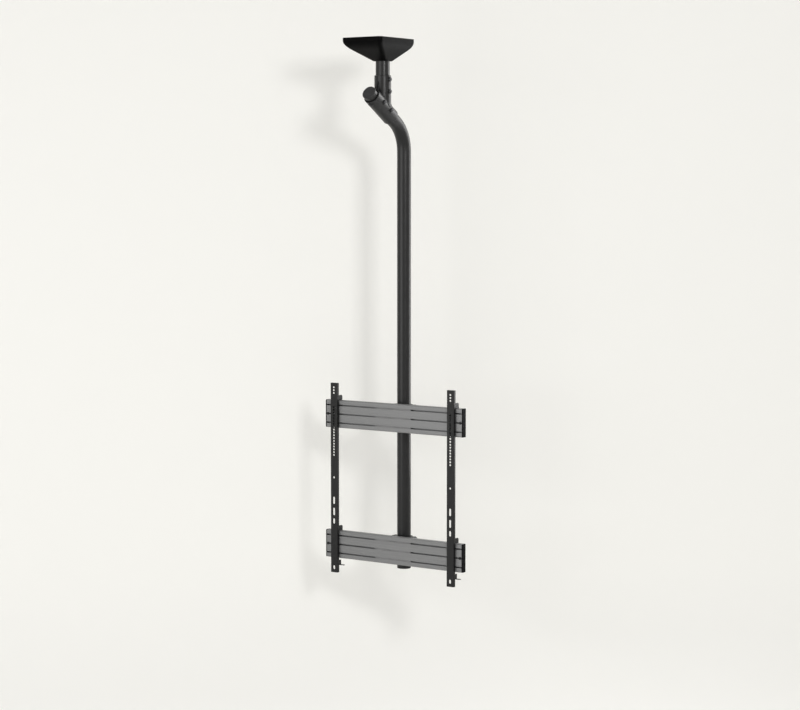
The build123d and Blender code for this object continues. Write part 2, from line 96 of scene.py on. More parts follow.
# Round a bead, and along the beads of the stub, the saddle and the gusset's two edges
BEAD_SIDES, STUB_STEPS, SADDLE_STEPS, UPRIGHT_STEPS, SLOPE_STEPS = 14, 200, 360, 120, 80

# Edges that turn by more than this are drawn sharp
SHARP_ANGLE = radians(32)

# Weld beads, as shares of the weld's radius: ripple height, crescent, and the beads in the corners
RIPPLE, CRESCENT = 0.14, 0.35
STUB_BEAD, GUSSET_BEAD = 1.15, 0.8
BEAD_END = 0.02
# A direction that no bead runs along
OFF_BEAD = (0.13, 0.21, 0.97)

# Soft boxes: right of the stub, ahead of it and up, width, height and power
KEY_BOX = (1.9, 4.1, 0.6, 0.75, 0.75, 75.0)
STRIP_BOX = (-3.4, 3.3, -0.5, 3.1, 3.1, 80.0)
EDGE_PANEL = (0.85, -0.36, -0.55, 0.9, 2.0, 26.0)
OBJECT_MIDDLE = (0.05, -0.08, -0.9)

# Light of the room on the object, and the backdrop's own glow on its wall and, added, on its floor
ROOM_LIGHT = 0.4
WALL_GLOW, FLOOR_GLOW = 0.4, 0.45

# Backdrop in metres: its cove, the wall's top, and how far it runs to the front and to each side
COVE = 0.6
WALL_TOP = 2.5
FLOOR_REACH = 20.0
HALF_WIDTH = 18.0


class Wire:
    """An output of a material's nodes. Sums and products of wires add Math nodes."""

    def __init__(self, graph, socket):
        self.graph = graph
        self.socket = socket

    def maths(self, operation, *values):
        return self.graph.node("ShaderNodeMath", {"operation": operation}, dict(enumerate(values)))

    def __add__(self, other):
        return self.maths("ADD", self, other)

    def __sub__(self, other):
        return self.maths("SUBTRACT", self, other)

    def __rsub__(self, other):
        return self.maths("SUBTRACT", other, self)

    def __mul__(self, other):
        return self.maths("MULTIPLY", self, other)

    __radd__ = __add__
    __rmul__ = __mul__

    def clipped(self):
        return self.maths("MINIMUM", self.maths("MAXIMUM", self, 0.0), 1.0)

    def ramp(self, low, high):
        """0 below low, 1 above high and a smooth step between."""
        inputs = {"Value": self, "From Min": low, "From Max": high}
        return self.graph.node("ShaderNodeMapRange", {"interpolation_type": "SMOOTHSTEP"}, inputs)


class Graph:
    """The nodes of one material or world."""

    def __init__(self, owner):
        owner.use_nodes = True
        self.owner = owner
        self.tree = owner.node_tree
        self.tree.nodes.clear()

    def node(self, kind, settings=None, inputs=None, output=0):
        """Adds a node: its settings first, then the values or links of its sockets. Gives one output."""
        made = self.tree.nodes.new(kind)
        for name, value in (settings or {}).items():
            setattr(made, name, value)
        for name, value in (inputs or {}).items():
            if isinstance(value, Wire):
                self.tree.links.new(value.socket, made.inputs[name])
            else:
                made.inputs[name].default_value = value
        return Wire(self, made.outputs[output]) if made.outputs else None

    def place(self, stretch=(1.0, 1.0, 1.0)):
        """Object coordinates in metres, stretched along each axis."""
        coords = self.node("ShaderNodeTexCoord", output="Object")
        return self.node("ShaderNodeVectorMath", {"operation": "MULTIPLY"}, {0: coords, 1: stretch})

    def noise(self, place, scale, detail=2.0, roughness=0.5):
        inputs = {"Vector": place, "Scale": scale, "Detail": detail, "Roughness": roughness}
        return self.node("ShaderNodeTexNoise", None, inputs)

    def blend(self, mask, low, high):
        """Colour low where the mask is 0 and high where it is 1."""
        return self.node("ShaderNodeMix", {"data_type": "RGBA"}, {0: mask, 6: low, 7: high}, 2)

    def rounded(self, radius):
        """Normals that turn over the sharp edges as a small radius would."""
        return self.node("ShaderNodeBevel", {"samples": 6}, {"Radius": radius})

    def edges(self, rounded, gain):
        """1 on sharp edges and 0 on flat ground."""
        facing = self.node("ShaderNodeNewGeometry", output="Normal")
        dot = {"operation": "DOT_PRODUCT"}
        flat = self.node("ShaderNodeVectorMath", dot, {0: rounded, 1: facing}, "Value")
        return ((1.0 - flat) * gain).clipped()

    def lying(self):
        """1 on ground that faces straight up, where dust settles."""
        facing = self.node("ShaderNodeNewGeometry", output="Normal")
        return self.node("ShaderNodeSeparateXYZ", None, {0: facing}, "Z").ramp(0.75, 1.0)

    def bump(self, height, strength, distance, normal):
        inputs = {"Height": height, "Strength": strength, "Distance": distance, "Normal": normal}
        return self.node("ShaderNodeBump", None, inputs)

    def surface(self, **inputs):
        """Ends the tree in a Principled shader with these sockets, underscores for spaces."""
        sockets = {name.replace("_", " "): value for name, value in inputs.items()}
        shader = self.node("ShaderNodeBsdfPrincipled", None, sockets)
        self.node("ShaderNodeOutputMaterial", None, {"Surface": shader})
        return self.owner

    def looked_at(self):
        """1 for rays from the camera and for those that mirror or pass through a surface, else 0."""
        path = "ShaderNodeLightPath"
        camera = self.node(path, output="Is Camera Ray")
        mirrored = self.node(path, output="Is Glossy Ray")
        passed = self.node(path, output="Is Transmission Ray")
        return (camera + mirrored + passed).clipped()


def rgba(colour, gain=1.0):
    return tuple(gain * c for c in colour) + (1.0,)


def powder_coat(name, colour, roughness):
    """Satin powder coat: orange peel, patchy gloss, rubbed edges and a little settled dust."""
    g = Graph(bpy.data.materials.new(name))
    place = g.place()
    peel = g.noise(place, 1300.0, 1.0)
    patches = g.noise(place, 26.0, 4.0, 0.6)
    scuffs = g.noise(place, 190.0, 5.0, 0.65)
    rounded = g.rounded(0.0007)
    rub = g.edges(rounded, 5.0) * scuffs.ramp(0.40, 0.62)
    dust = g.lying() * patches.ramp(0.35, 0.75)
    tone = g.blend(patches.ramp(0.25, 0.8), rgba(colour, 0.86), rgba(colour, 1.16))
    tone = g.blend(rub * 0.55, tone, rgba(colour, 3.2))
    tone = g.blend(dust * 0.10, tone, DUST)
    gloss = (patches - 0.5) * 0.16 + roughness + dust * 0.12 - rub * 0.06
    normal = g.bump(peel, 0.10, 0.0004, rounded)
    return g.surface(Base_Color=tone, Roughness=gloss, Normal=normal, Specular_IOR_Level=SHEEN["powder"])


def moulded_plastic(name, colour, roughness, sheen):
    """Matte moulded plastic: spark-eroded grain, faint flow marks and edges polished by handling."""
    g = Graph(bpy.data.materials.new(name))
    place = g.place()
    grain = g.noise(place, 2600.0, 2.0, 0.6)
    flow = g.noise(g.place((1.0, 1.0, 3.0)), 18.0, 3.0)
    rounded = g.rounded(0.0009)
    polish = g.edges(rounded, 4.0) * flow.ramp(0.3, 0.65)
    dust = g.lying() * flow.ramp(0.4, 0.7)
    tone = g.blend(flow.ramp(0.3, 0.7), rgba(colour, 0.88), rgba(colour, 1.14))
    tone = g.blend(polish * 0.5, tone, rgba(colour, 2.4))
    tone = g.blend(dust * 0.12, tone, DUST)
    gloss = (flow - 0.5) * 0.12 + roughness - polish * 0.10 + dust * 0.1
    normal = g.bump(grain, 0.16, 0.0003, rounded)
    return g.surface(Base_Color=tone, Roughness=gloss, Normal=normal, Specular_IOR_Level=sheen)


def anodised_bar(name, colour, roughness, along, metallic):
    """Anodised extrusion: die lines along the bar, matt etched ground, brighter rubbed edges."""
    g = Graph(bpy.data.materials.new(name))
    place = g.place()
    stretch = [2200.0, 2200.0, 2200.0]
    stretch[along] = 5.0
    lines = g.noise(g.place(stretch), 1.0, 3.0, 0.7)
    stretch = [260.0, 260.0, 260.0]
    stretch[along] = 1.5
    bands = g.noise(g.place(stretch), 1.0, 2.0)
    etch = g.noise(place, 4200.0, 2.0)
    scuffs = g.noise(place, 140.0, 5.0, 0.65)
    rounded = g.rounded(0.0005)
    rub = g.edges(rounded, 5.0) * scuffs.ramp(0.36, 0.62)
    tone = g.blend(bands.ramp(0.25, 0.75), rgba(colour, 0.9), rgba(colour, 1.1))
    tone = g.blend(lines.ramp(0.3, 0.7), tone, rgba(colour, 1.0))
    tone = g.blend(rub * 0.5, tone, rgba(colour, 1.9))
    gloss = (bands - 0.5) * 0.14 + roughness + (lines - 0.5) * 0.10
    normal = g.bump(lines * 0.7 + etch * 0.3, 0.12, 0.0002, rounded)
    return g.surface(Base_Color=tone, Roughness=gloss, Normal=normal, Metallic=metallic)


def fastener_steel(name, colour, roughness, metallic):
    """Black-oxide or zinc steel: drawn lines, oily blotches and bright rubbed edges."""
    g = Graph(bpy.data.materials.new(name))
    place = g.place()
    blotch = g.noise(place, 420.0, 4.0, 0.6)
    fine = g.noise(place, 3600.0, 2.0)
    rounded = g.rounded(0.0003)
    rub = g.edges(rounded, 5.0) * blotch.ramp(0.35, 0.6)
    tone = g.blend(blotch.ramp(0.3, 0.7), rgba(colour, 0.75), rgba(colour, 1.2))
    tone = g.blend(rub * 0.6, tone, RUBBED_STEEL)
    gloss = (blotch - 0.5) * 0.2 + roughness - rub * 0.08
    normal = g.bump(fine, 0.10, 0.0002, rounded)
    return g.surface(Base_Color=tone, Roughness=gloss, Normal=normal, Metallic=metallic)


def weld_metal(name, colour, roughness):
    """Powder coat over a weld: fine bumps, with painted shade that darkens their hollows and lightens their
    tops.
    """
    g = Graph(bpy.data.materials.new(name))
    place = g.place()
    relief_and_shade = g.noise(place, 900.0, 3.0)
    patches = g.noise(place, 60.0, 3.0)
    # Painted shade: the tone is darker where the fine bumps are low and lighter where they are high
    tone = g.blend(relief_and_shade.ramp(0.3, 0.7), rgba(colour, 0.8), rgba(colour, 1.3))
    gloss = (patches - 0.5) * 0.2 + roughness
    normal = g.bump(relief_and_shade, 0.2, 0.0003, g.rounded(0.0002))
    return g.surface(Base_Color=tone, Roughness=gloss, Normal=normal, Specular_IOR_Level=SHEEN["powder"])


def closed_shell(points, ring=False):
    """Faces over a grid of points (rows, columns, xyz) that closes round its columns.

    A ring closes round its rows as well; otherwise a fan closes each end on the mean of that row.
    The faces are turned so that the enclosed volume, the sum of a . (b x c) / 6, is positive.
    """
    rows, cols = points.shape[:2]
    verts = points.reshape(-1, 3)
    last = rows if ring else rows - 1
    row = np.arange(last)[:, None]
    col = np.arange(cols)[None, :]
    low = row * cols
    high = (row + 1) % rows * cols
    after = (col + 1) % cols
    corners = (low + col, low + after, high + after, high + col)
    quads = np.stack(corners, -1).reshape(-1, 4)
    tris = np.concatenate((quads[:, :3], quads[:, [0, 2, 3]]))
    fans = np.zeros((0, 3), int)
    if not ring:
        verts = np.concatenate((verts, points[0].mean(0)[None], points[-1].mean(0)[None]))
        start = col[0]
        top = start + (rows - 1) * cols
        first_fan = np.stack((np.roll(start, -1), start, np.full(cols, rows * cols)), -1)
        last_fan = np.stack((top, np.roll(top, -1), np.full(cols, rows * cols + 1)), -1)
        fans = np.concatenate((first_fan, last_fan))
    a, b, c = (verts[np.concatenate((tris, fans))[:, k]] for k in range(3))
    if np.einsum("ij,ij->", a, np.cross(b, c)) < 0:
        quads, fans = quads[:, ::-1], fans[:, ::-1]
    return verts, quads, fans


def set_at(shell, origin, x_dir, z_dir):
    """A shell moved from the XY plane to the seat at origin: p = o + x X + y (Z x X) + z Z."""
    verts, quads, fans = shell
    x_dir, z_dir = np.asarray(x_dir, float), np.asarray(z_dir, float)
    axes = np.stack((x_dir, np.cross(z_dir, x_dir), z_dir))
    return verts @ axes + np.asarray(origin, float), quads, fans


def make_piece(name, shells, material, body, replaced=()):
    """Puts shells into one mesh object, its place in its mesh, and ties it to its body."""
    verts, faces, sizes, count = [], [], [], 0
    for points, quads, fans in shells:
        verts.append(points)
        faces += [(quads + count).ravel(), (fans + count).ravel()]
        sizes += [np.full(len(quads), 4), np.full(len(fans), 3)]
        count += len(points)
    verts, faces, sizes = np.concatenate(verts), np.concatenate(faces), np.concatenate(sizes)
    mesh = bpy.data.meshes.new(name)
    mesh.vertices.add(count)
    mesh.vertices.foreach_set("co", verts.astype(np.float32).ravel())
    mesh.loops.add(len(faces))
    mesh.loops.foreach_set("vertex_index", faces.astype(np.int32))
    mesh.polygons.add(len(sizes))
    mesh.polygons.foreach_set("loop_start", np.concatenate(([0], np.cumsum(sizes)[:-1])).astype(np.int32))
    mesh.update(calc_edges=True)
    mesh.validate()
    mesh.shade_smooth()
    mesh.set_sharp_from_angle(angle=SHARP_ANGLE)
    mesh.materials.append(material)
    piece = bpy.data.objects.new(name, mesh)
    bpy.context.scene.collection.objects.link(piece)
    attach(piece, body)
    if replaced:
        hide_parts(*replaced)
    return piece


def around(count):
    """Angles of one turn."""
    return np.arange(count) * 2 * pi / count


def zigzag(turns):
    """Triangle wave of height 0 to 1 that peaks at whole turns."""
    return np.abs(2 * (turns % 1.0) - 1)


def hexagon(angle, flats):
    """Distance from a hexagon's middle to its side at each angle: flats / 2 / cos(angle from the flat)."""
    return flats / 2 / np.cos((angle + pi / 6) % (pi / 3) - pi / 6)


def socket_screw(shank_d, shank_l, thread_l, head_d, head_h, key, pitch, knurls, crown, crown_in):
    """Socket-head screw about Z with its seat at z = 0, as radius r and height z over rows and angles a.

    Thread: r = shank / 2 - depth * zigzag(z / pitch - a / turn), fading in over the tip.
    Side: r = head / 2 - groove * zigzag(knurls * a / turn). Crown: a quarter ellipse of the given height,
    running in from the side. Socket: r runs down the hexagon of the key to a drill cone.
    """
    angle = around(4 * knurls if knurls else ROUND_STEPS)
    turn = angle / (2 * pi)
    rows = []

    def row(radius, height):
        rows.append((radius + 0 * angle, height + 0 * angle))

    depth = THREAD_DEPTH * pitch
    steps = int(thread_l / pitch * PITCH_STEPS)
    for z in np.linspace(-shank_l, thread_l - shank_l, steps + 1):
        tip = min(1.0, (z + shank_l) / pitch)
        row(shank_d / 2 - depth * zigzag(z / pitch - turn) - (1 - tip) * THREAD_RUN_IN * depth, z)
    row(shank_d / 2, thread_l - shank_l)
    row(shank_d / 2, 0.0)
    row(head_d / 2 - EDGE, 0.0)
    groove = KNURL_DEPTH if knurls else 0.0
    side = head_d / 2 - groove * zigzag(knurls * turn)
    row(side, EDGE)
    row(side, head_h - crown)
    for bend in np.linspace(0, pi / 2, CROWN_STEPS)[1:]:
        row(head_d / 2 - groove - crown_in * (1 - cos(bend)), head_h - crown + crown * sin(bend))
    wall = hexagon(angle, key)
    row(wall + EDGE, head_h)
    row(wall, head_h - EDGE)
    row(wall, head_h * SOCKET_FLOOR)
    row(DRILL_TIP * wall, head_h * SOCKET_FLOOR - DRILL_CONE)
    radius, height = (np.stack(side) for side in zip(*rows))
    return closed_shell(np.stack((radius * np.cos(angle), radius * np.sin(angle), height), -1))


def cap_screw(shank_d, shank_l, thread_l, head_d, head_h, key, pitch):
    """Knurled cap screw with a lightly rounded top edge."""
    return socket_screw(shank_d, shank_l, thread_l, head_d, head_h, key, pitch, KNURLS, CAP_CROWN, CAP_CROWN)


def button_screw(shank_d, shank_l, head_d, head_h, key, pitch):
    """Button-head screw, threaded all along: the dome takes three quarters of the head's height."""
    dome_in = DOME_IN * head_d / 2
    return socket_screw(shank_d, shank_l, shank_l, head_d, head_h, key, pitch, 0, DOME_RISE * head_h, dome_in)


def chamfered_nut(flats, bore_r, nut_h):
    """Hexagon nut about Z from z = 0: the corners are cut by 30 degree cones, z = h - (r - c) tan 30."""
    angle = around(ROUND_STEPS)
    side = hexagon(angle, flats)
    cone_r = NUT_CONE * flats
    drop = (side - cone_r) * tan(NUT_CONE_ANGLE)
    flat = 0 * angle
    rows = (
        (flat + bore_r, flat + NUT_EDGE),
        (flat + bore_r, flat + nut_h - NUT_EDGE),
        (flat + bore_r + NUT_EDGE, flat + nut_h),
        (flat + cone_r, flat + nut_h),
        (side, nut_h - drop),
        (side, drop),
        (flat + cone_r, flat),
        (flat + bore_r + NUT_EDGE, flat),
    )
    radius, height = (np.stack(part) for part in zip(*rows))
    return closed_shell(np.stack((radius * np.cos(angle), radius * np.sin(angle), height), -1), ring=True)


def weld_bead(path, radius, step, looped):
    """Weld bead carried along a path: r = R (1 + ripple zigzag(s / step + crescent cos f)).

    s is the length run so far and f the angle round the bead. An open bead's ends are rounded off by
    r * sqrt(1 - t^8), with t from -1 to 1 along it.
    """
    ahead = np.roll(path, -1, 0) - path if looped else np.gradient(path, axis=0)
    run = np.linalg.norm(ahead, axis=1)
    length = np.concatenate(([0.0], np.cumsum(run)[:-1]))
    tangent = np.gradient(path, axis=0)
    if looped:
        tangent = np.roll(path, -1, 0) - np.roll(path, 1, 0)
    tangent /= np.linalg.norm(tangent, axis=1)[:, None]
    level = np.cross(tangent, OFF_BEAD)
    level /= np.linalg.norm(level, axis=1)[:, None]
    upright = np.cross(tangent, level)
    turn = around(BEAD_SIDES)
    pitch = run.sum() / round(run.sum() / step) if looped else step
    ripple = 1 + RIPPLE * zigzag(length[:, None] / pitch + CRESCENT * np.cos(turn))
    if not looped:
        t = np.linspace(-1, 1, len(path))
        ripple = ripple * np.sqrt(np.maximum(1 - t**8, BEAD_END))[:, None]
    arm = level[:, None] * np.cos(turn)[None, :, None] + upright[:, None] * np.sin(turn)[None, :, None]
    return closed_shell(path[:, None] + radius * ripple[..., None] * arm, ring=looped)


def bent_path(corners, radius):
    """Path through corners in a plane, each rounded by an arc of the given radius.

    With unit legs a and b from a corner p that meet at 2h, the arc's middle is
    c = p + r (a + b) / (|a + b| sin h). From v0 = p + a r / tan h - c to v1 = p + b r / tan h - c it is
    c + (sin((1 - s) w) v0 + sin(s w) v1) / sin w, with w = pi - 2h and s from 0 to 1.
    """
    share = np.linspace(0, 1, BEND_STEPS)[:, None]
    runs = [corners[:1]]
    for before, corner, after in zip(corners, corners[1:], corners[2:]):
        a = (before - corner) / np.linalg.norm(before - corner)
        b = (after - corner) / np.linalg.norm(after - corner)
        half = np.arccos(a @ b) / 2
        middle = corner + (a + b) / np.linalg.norm(a + b) * radius / sin(half)
        first = corner + a * radius / tan(half) - middle
        last = corner + b * radius / tan(half) - middle
        turn = pi - 2 * half
        runs.append(middle + (np.sin((1 - share) * turn) * first + np.sin(share * turn) * last) / sin(turn))
    return np.concatenate(runs + [corners[-1:]])


def folded_strip(path, low_x, high_x, thick):
    """Strip of thickness t along a path p of (y, z): corners p + n t / 2 and p - n t / 2 at both x."""
    ahead = np.gradient(path, axis=0)
    ahead[0], ahead[-1] = path[1] - path[0], path[-1] - path[-2]
    across = np.stack((-ahead[:, 1], ahead[:, 0]), -1) / np.linalg.norm(ahead, axis=1)[:, None]
    outer, inner = path + across * thick / 2, path - across * thick / 2
    sides = ((low_x, outer), (high_x, outer), (high_x, inner), (low_x, inner))
    return closed_shell(np.stack([np.insert(edge, 0, x, axis=1) for x, edge in sides], 1))


def coat(nodes, material):
    """Gives CAD nodes a finish."""
    for name in nodes:
        slots = frame["nodes"][name].data.materials
        slots.clear()
        slots.append(material)


def nodes_in(slot):
    return [node for node, its in SLOT_OF.items() if its == slot]


def corner_seats(node, width, y):
    """Middles of the four like pieces, each this wide, that stand in the corners of a node's box."""
    low, high = (np.asarray(corner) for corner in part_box(node))
    low, high = low + width / 2, high - width / 2
    return [(x, y, z) for x in (low[0], high[0]) for z in (low[2], high[2])]


def end_seats(node, width, y):
    """Middles of the two like pieces at the ends of a node's box."""
    low, high = (np.asarray(corner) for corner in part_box(node))
    return [(x, y, (low[2] + high[2]) / 2) for x in (low[0] + width / 2, high[0] - width / 2)]


def length(name, about, millimetres):
    metres = millimetres / 1000
    return FloatProperty(name=name, description=about, default=metres, subtype="DISTANCE", unit="LENGTH")


def shade(name, about, colour):
    return FloatVectorProperty(name=name, description=about, default=colour, subtype="COLOR", min=0, max=1)


def turned(name, about, degrees):
    return FloatProperty(name=name, description=about, default=radians(degrees), subtype="ANGLE")


class MountFinishes(bpy.types.PropertyGroup):
    """Colours of the mount's finishes."""

    powder: shade("Powder coat", "Satin black on the tubes, coupling and arms", (0.0115, 0.0115, 0.012))
    arm: shade("Arms", "Satin black on the arms, hooks and latches", (0.0065, 0.0065, 0.0068))
    cover: shade("Cover", "Black moulded plastic of the ceiling cover", (0.0016, 0.0016, 0.0017))
    cap: shade("Caps", "Black plastic of the rails' end caps", (0.0080, 0.0080, 0.0084))
    plug: shade("Plugs", "Dark grey plastic of the pole's plugs", (0.040, 0.040, 0.041))
    rail: shade("Rails", "Grey anodised aluminium", (0.196, 0.197, 0.200))
    filler: shade("Slot covers", "Grey strips that close the slots", (0.184, 0.184, 0.188))
    clamp: shade("Clamps", "Black anodised aluminium of the clamps", (0.018, 0.018, 0.019))
    oxide: shade("Screws", "Dark nickel of the coupling's screws and of the bolts", (0.055, 0.055, 0.058))
    stop: shade("End stops", "Black-oxide steel of the rails' end stops", (0.012, 0.012, 0.013))
    zinc: shade("Nuts", "Zinc-plated steel of nuts and springs", (0.42, 0.42, 0.43))


class MountSizes(bpy.types.PropertyGroup):
    """Sizes of the welds and fasteners."""

    cross_drop: length("Crossing", "Depth of the sleeves' crossing below the ceiling", 233.8)
    crank_angle: turned("Crank angle", "Lean of the inclined sleeve from upright", 58.5)
    upright_r: length("Upright sleeve", "Outside radius of the upright sleeve", 28.65)
    incline_r: length("Inclined sleeve", "Outside radius of the inclined sleeve", 28.95)
    boss_h: length("Boss", "Height of the screw bosses on the sleeves", 1.2)
    gusset_t: length("Gusset", "Thickness of the gusset between the sleeves", 6.0)
    gusset_top: length("Gusset top", "Depth of the gusset's upper end below the ceiling", 140.4)
    gusset_end: length("Gusset end", "Place of the gusset's lower end along the inclined sleeve", 72.6)
    stub_r: length("Stub", "Outside radius of the stub tube", 24.15)
    plate_t: length("Plate", "Thickness of the ceiling plate", 5.0)
    weld_r: length("Weld", "Radius of the weld beads", 1.9)
    weld_step: length("Ripple", "Length of one weld ripple", 2.2)
    clamp_screw_d: length("Clamp screw", "Thread of the coupling's clamp screws", 8.0)
    clamp_screw_l: length("Clamp screw length", "Length of the coupling's clamp screws under the head", 5.4)
    clamp_head_d: length("Clamp screw head", "Width of the coupling's screw heads", 14.5)
    clamp_head_h: length("Clamp screw head height", "Height of the coupling's screw heads", 4.8)
    clamp_key: length("Clamp screw key", "Key of the coupling's clamp screws", 5.0)
    first_drop: length("First screw", "Depth of the upright sleeve's upper screw below the ceiling", 136.5)
    second_drop: length("Second screw", "Depth of the upright sleeve's lower screw below the ceiling", 177.5)
    upper_place: length("Upper screw", "Place of the inclined sleeve's upper screw from the crossing", 36.0)
    lower_place: length("Lower screw", "Place of the inclined sleeve's lower screw from the crossing", -13.0)
    lock_place: length("Lock screw place", "Place of the lock screw along the inclined sleeve", 64.0)
    lock_d: length("Lock screw", "Thread of the lock screw", 6.0)
    lock_head_d: length("Lock screw head", "Width of the lock screw's head", 10.5)
    lock_head_h: length("Lock screw head height", "Height of the lock screw's head", 3.3)
    lock_key: length("Lock screw key", "Key of the lock screw", 4.0)
    bolt_d: length("Bolt", "Thread of the clamp and rail bolts", 8.0)
    bolt_head_d: length("Bolt head", "Width of the bolt heads", 13.0)
    bolt_head_h: length("Bolt head height", "Height of the bolt heads", 8.0)
    bolt_key: length("Bolt key", "Key of the bolts", 6.0)
    bolt_thread: length("Bolt thread", "Threaded length of the bolts", 13.0)
    nut_flats: length("Nut", "Width of the nuts across their flats", 13.0)
    stop_d: length("Stop screw", "Thread of the rails' end stops", 4.0)
    stop_head_d: length("Stop head", "Width of the end stops' heads", 10.0)
    stop_head_h: length("Stop head height", "Height of the end stops' heads", 2.6)
    stop_key: length("Stop key", "Key of the end stops", 3.0)
    spring_t: length("Spring", "Thickness of the latch springs' strip", 0.6)
    spring_fold: length("Spring fold", "Length of the latch springs' folds, between their corners", 8.5)
    spring_bend: length("Spring bend", "Middle radius of the latch springs' bends", 0.8)
    latch_pull: length("Latch pull", "Way that a latch is pulled down on its spring", 6.0)


class MountStage(bpy.types.PropertyGroup):
    """Camera, backdrop and light."""

    camera: FloatVectorProperty(
        name="Camera",
        description="Place of the camera",
        default=(4.180, -5.956, -0.501),
        subtype="TRANSLATION",
        unit="LENGTH",
    )
    azimuth: turned("Azimuth", "Turn of the camera", 34.6)
    pitch: turned("Pitch", "Tilt of the camera below level", 4.52)
    lens: FloatProperty(name="Lens", description="Focal length in millimetres", default=95.6)
    sensor: FloatProperty(name="Sensor", description="Sensor width in millimetres", default=36.0)
    backdrop: length("Backdrop", "Distance of the backdrop behind the stub tube", 420.0)
    floor_drop: length("Floor", "Depth of the floor below the ceiling", 2450.0)
    pale: shade("Backdrop colour", "Plain pale colour of backdrop and floor", (0.925, 0.917, 0.884))


class CeilingMount(bpy.types.PropertyGroup):
    """All settings of the mount."""

    finishes: PointerProperty(type=MountFinishes)
    sizes: PointerProperty(type=MountSizes)
    stage: PointerProperty(type=MountStage)


def settings():
    return bpy.context.scene.ceiling_mount


class MOUNT_OT_ceiling_end(bpy.types.Operator):
    """Finishes the plate and cover and lays the weld round the stub tube"""

    bl_idname = "ceiling_mount.ceiling_end"
    bl_label = "Ceiling plate and cover"

    def execute(self, context):
        finishes, sizes = settings().finishes, settings().sizes
        coat(["ceiling_plate"], powder_coat("plate_coat", finishes.powder, ROUGHNESS["plate"]))
        moulding = moulded_plastic("cover_moulding", finishes.cover, ROUGHNESS["cover"], SHEEN["cover"])
        coat(["ceiling_cover"], moulding)
        # A circle in the corner of tube and plate, on the tube's bevelled root
        angle = around(STUB_STEPS)
        ring_r = sizes.stub_r + sizes.weld_r
        height = np.full(len(angle), -sizes.plate_t - sizes.weld_r)
        path = np.stack((ring_r * np.cos(angle), ring_r * np.sin(angle), height), -1)
        bead = weld_bead(path, STUB_BEAD * sizes.weld_r, sizes.weld_step, True)
        material = weld_metal("stub_weld_coat", finishes.powder, ROUGHNESS["weld"])
        make_piece("stub_weld", [bead], material, "ceiling")
        return {"FINISHED"}


class MOUNT_OT_crank(bpy.types.Operator):
    """Finishes the coupling, the pole, its plugs and the rails' end caps"""

    bl_idname = "ceiling_mount.crank"
    bl_label = "Coupling and pole"

    def execute(self, context):
        finishes = settings().finishes
        coat(["offset_coupling"], powder_coat("coupling_coat", finishes.powder, ROUGHNESS["coupling"]))
        coat(["drop_pole"], powder_coat("pole_coat", finishes.powder, ROUGHNESS["pole"]))
        cap = moulded_plastic("cap_moulding", finishes.cap, ROUGHNESS["cap"], SHEEN["cap"])
        coat(nodes_in("cap_plastic"), cap)
        plug = moulded_plastic("plug_moulding", finishes.plug, ROUGHNESS["plug"], SHEEN["plug"])
        coat(["pole_top_cap", "pole_bottom_cap"], plug)
        return {"FINISHED"}


class MOUNT_OT_welds(bpy.types.Operator):
    """Lays the weld beads along the saddle where the two sleeves meet and along the gusset"""

    bl_idname = "ceiling_mount.welds"
    bl_label = "Coupling welds"

    def execute(self, context):
        sizes = settings().sizes
        lean = sizes.crank_angle
        angle = around(SADDLE_STEPS)
        x = sizes.upright_r * np.cos(angle)
        y = sizes.upright_r * np.sin(angle)
        # On the inclined sleeve: x^2 + above^2 = R^2, and above = y cos(lean) + (z + drop) sin(lean)
        above = np.sqrt(sizes.incline_r**2 - x**2)
        z = (above - y * cos(lean)) / sin(lean) - sizes.cross_drop
        material = weld_metal("weld_coat", settings().finishes.powder, ROUGHNESS["weld"])
        bead = weld_bead(np.stack((x, y, z), -1), sizes.weld_r, sizes.weld_step, True)
        make_piece("coupling_weld", [bead], material, "crank")

        # Along the gusset's four long edges, from its tips into the corner of the sleeves
        beads = []
        for x in (-sizes.gusset_t / 2, sizes.gusset_t / 2):
            front = -np.sqrt(sizes.upright_r**2 - x**2)
            over = np.sqrt(sizes.incline_r**2 - x**2)
            corner = (over * cos(lean) - front) / sin(lean)
            along = np.linspace(sizes.gusset_end, corner, SLOPE_STEPS)
            slope_y = over * cos(lean) - along * sin(lean)
            slope_z = over * sin(lean) + along * cos(lean) - sizes.cross_drop
            upright_z = np.linspace(-sizes.gusset_top, slope_z[-1], UPRIGHT_STEPS)
            upright = np.stack((x + 0 * upright_z, front + 0 * upright_z, upright_z), -1)
            slope = np.stack((x + 0 * along, slope_y, slope_z), -1)
            bead_r = GUSSET_BEAD * sizes.weld_r
            beads += [weld_bead(path, bead_r, sizes.weld_step, False) for path in (upright, slope)]
        make_piece("gusset_weld", beads, material, "crank")
        return {"FINISHED"}


